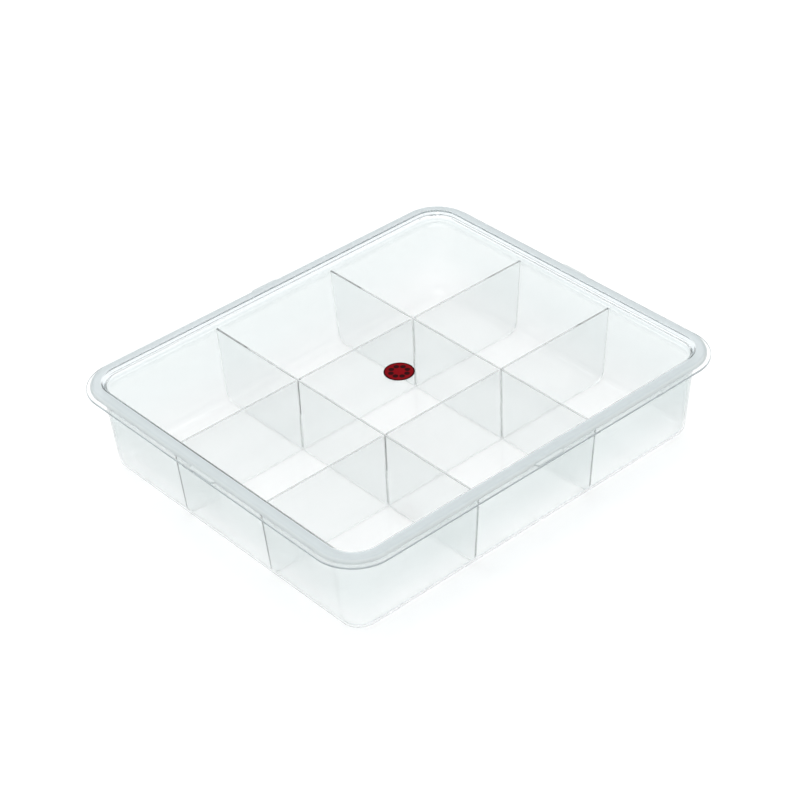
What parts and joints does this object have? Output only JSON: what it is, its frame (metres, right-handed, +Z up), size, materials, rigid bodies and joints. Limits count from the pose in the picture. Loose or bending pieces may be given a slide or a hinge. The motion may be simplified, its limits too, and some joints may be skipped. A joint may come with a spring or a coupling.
{
  "type": "divided craft storage box",
  "caption": "Clear drafted tray with a slotted grid of lift-out dividers under one full-size recessed lid with a raised bead and a small round label.",
  "frame": {"origin": "centre of the tray's underside", "axes": "+X along the length, +Y along the width, +Z up towards the lid"},
  "size_m": [0.259, 0.221, 0.053],
  "materials": {
    "tray_clear": "moulded clear polypropylene, slightly milky",
    "divider_clear": "moulded clear polypropylene sheet",
    "lid_clear": "moulded clear polypropylene with a cool tint at the bead",
    "label_red": "printed vinyl sticker, deep red"
  },
  "bodies": {
    "tray": {"tray": "tray_clear"},
    "long_divider_front": {"long_divider_front": "divider_clear"},
    "long_divider_back": {"long_divider_back": "divider_clear"},
    "cross_divider_left": {"cross_divider_left": "divider_clear"},
    "cross_divider_right": {"cross_divider_right": "divider_clear"},
    "lid": {"lid": "lid_clear", "label": "label_red"}
  },
  "joints": [
    {"name": "long_back_lift", "type": "slide", "parent": "tray", "child": "long_divider_back", "axis": [0, 0, 1], "range_m": [0, 0.06]},
    {"name": "long_front_lift", "type": "slide", "parent": "tray", "child": "long_divider_front", "axis": [0, 0, 1], "range_m": [0, 0.06]},
    {"name": "cross_left_lift", "type": "slide", "parent": "long_divider_back", "child": "cross_divider_left", "axis": [0, 0, 1], "range_m": [0, 0.06]},
    {"name": "cross_right_lift", "type": "slide", "parent": "cross_divider_left", "child": "cross_divider_right", "axis": [0, 0, 1], "range_m": [0, 0.06]},
    {"name": "lid_lift", "type": "slide", "parent": "cross_divider_right", "child": "lid", "axis": [0, 0, 1], "range_m": [0, 0.08]}
  ],
  "couplings": [
    {"joint": "long_front_lift", "follows": "long_back_lift", "ratio": 1}
  ]
}
